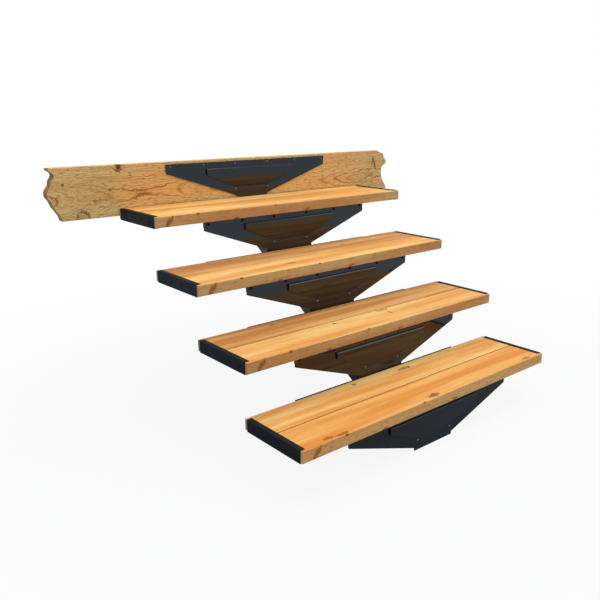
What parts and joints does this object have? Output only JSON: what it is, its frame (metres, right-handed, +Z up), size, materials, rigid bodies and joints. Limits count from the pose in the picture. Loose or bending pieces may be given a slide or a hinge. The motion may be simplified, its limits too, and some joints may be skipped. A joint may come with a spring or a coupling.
{
  "type": "stair stringer",
  "caption": "Modular centre stringer of black steel riser plates and bent trays carrying timber tread boards in black end caps, hung from a deck's rim board.",
  "frame": {"origin": "on the ground, in the middle of the lowest riser's foot", "axes": "+X along the treads to the right as one climbs, +Y up the flight towards the deck, +Z up"},
  "size_m": [1.6895, 1.1222, 0.914],
  "materials": {
    "black_steel": "glossy near-black powder coat",
    "cap_steel": "satin near-black powder coat",
    "front_timber": "planed softwood, warm honey colour",
    "back_timber": "planed softwood, pale honey colour",
    "rim_timber": "sawn softwood, tan, with knots",
    "zinc_fastener": "dull zinc plate"
  },
  "bodies": {
    "root": {"end_cap_left_1": "cap_steel", "end_cap_left_2": "cap_steel", "end_cap_left_3": "cap_steel", "end_cap_left_4": "cap_steel", "end_cap_right_1": "cap_steel", "end_cap_right_2": "cap_steel", "end_cap_right_3": "cap_steel", "end_cap_right_4": "cap_steel", "foot_bolts": "zinc_fastener", "foot_nuts": "zinc_fastener", "rim_board": "rim_timber", "rim_foot_bolts": "zinc_fastener", "rim_plate": "black_steel", "rim_screws": "zinc_fastener", "riser_plate_1": "black_steel", "riser_plate_2": "black_steel", "riser_plate_3": "black_steel", "riser_plate_4": "black_steel", "spine_channel_2": "black_steel", "spine_channel_3": "black_steel", "spine_channel_4": "black_steel", "step_steel_1": "black_steel", "step_steel_2": "black_steel", "step_steel_3": "black_steel", "step_steel_4": "black_steel", "tread_back_board_1": "back_timber", "tread_back_board_2": "back_timber", "tread_back_board_3": "back_timber", "tread_back_board_4": "back_timber", "tread_front_board_1": "front_timber", "tread_front_board_2": "front_timber", "tread_front_board_3": "front_timber", "tread_front_board_4": "front_timber"}
  },
  "joints": []
}
